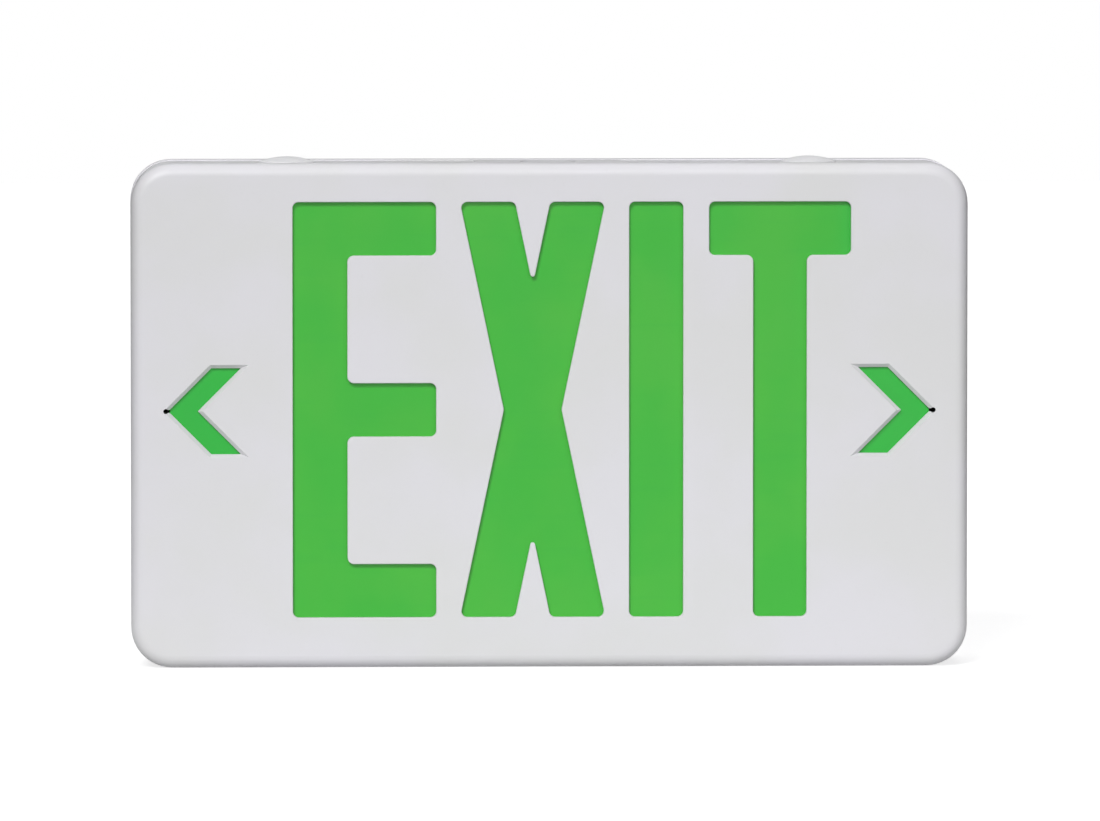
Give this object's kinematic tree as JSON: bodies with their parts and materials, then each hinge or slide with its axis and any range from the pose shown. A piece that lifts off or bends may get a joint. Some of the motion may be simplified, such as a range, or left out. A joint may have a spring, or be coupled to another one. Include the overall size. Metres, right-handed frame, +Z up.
{
  "type": "emergency exit light",
  "caption": "Slim wall-mounted emergency exit light: white moulded case, stencilled face with green lens and two direction arrows, lamps, driver board and battery inside.",
  "frame": {"origin": "centre of the wire entry hole on the wall plane", "axes": "+X to the viewer's right along the sign, +Y into the wall, +Z up; the lit face looks along -Y"},
  "size_m": [0.307, 0.045, 0.1868],
  "materials": {
    "white_plastic": "satin moulded thermoplastic",
    "green_lens": "translucent green acrylic, satin",
    "clear_plug": "milky translucent plastic",
    "zinc_steel": "zinc-plated",
    "circuit_board": "solder mask over glass laminate",
    "white_board": "white solder mask",
    "clear_epoxy": "cast clear epoxy",
    "core_steel": "laminated, varnished",
    "black_plastic": "moulded",
    "yellow_tape": "polyester tape",
    "film_case": "moulded case",
    "can_sleeve": "shrink sleeve on aluminium",
    "resistor_coat": "lacquered ceramic",
    "fuse_glass": "glass tube with nickel caps",
    "disc_coat": "dipped epoxy",
    "terminal_green": "moulded nylon",
    "nylon": "natural nylon",
    "red_insulation": "vinyl insulation",
    "black_insulation": "vinyl insulation",
    "white_insulation": "vinyl insulation",
    "cell_sleeve": "shrink sleeve",
    "spring_steel": "bright drawn wire",
    "red_epoxy": "diffused red epoxy",
    "tinned_sheet": "tinned"
  },
  "bodies": {
    "case": {"housing_frame": "white_plastic", "back_plate": "white_plastic", "top_plug_left": "clear_plug", "top_plug_right": "clear_plug", "case_screws": "zinc_steel", "board_screws": "zinc_steel", "bracket_screws": "zinc_steel", "switch_board_screws": "zinc_steel", "driver_board": "circuit_board", "upper_lamp_board": "white_board", "lower_lamp_board": "white_board", "upper_lamps": "clear_epoxy", "lower_lamps": "clear_epoxy", "transformer_core": "core_steel", "transformer_bobbin": "black_plastic", "transformer_winding": "yellow_tape", "film_capacitor": "film_case", "smoothing_capacitors": "can_sleeve", "rectifier_diodes": "black_plastic", "resistors": "resistor_coat", "control_chip": "black_plastic", "power_transistor": "black_plastic", "fuse_link": "fuse_glass", "fuse_clips": "tinned_sheet", "surge_disc": "disc_coat", "supply_terminal": "terminal_green", "terminal_screws": "zinc_steel", "lead_sockets": "nylon", "battery_socket": "nylon", "battery_plug": "nylon", "upper_lamp_leads": "white_insulation", "lower_lamp_leads": "white_insulation", "battery_lead_red": "red_insulation", "battery_lead_black": "black_insulation", "switch_leads": "black_insulation", "battery_pack": "cell_sleeve", "battery_bracket": "nylon", "switch_board": "circuit_board", "push_switch": "black_plastic", "button_spring": "spring_steel", "pilot_lamp": "red_epoxy"},
    "cover": {"face_plate": "white_plastic", "colour_lens": "green_lens"},
    "button": {"test_button": "red_epoxy"}
  },
  "joints": [
    {"name": "face_plate_pull", "type": "slide", "parent": "case", "child": "cover", "axis": [0, -1, 0], "range_m": [0, 0.06]},
    {"name": "test_button_press", "type": "slide", "parent": "case", "child": "button", "axis": [0, 0, 1], "range_m": [0, 0.0012], "stiffness_N_per_m": 400, "springref_m": -0.0015, "deforming": ["button_spring"]}
  ]
}
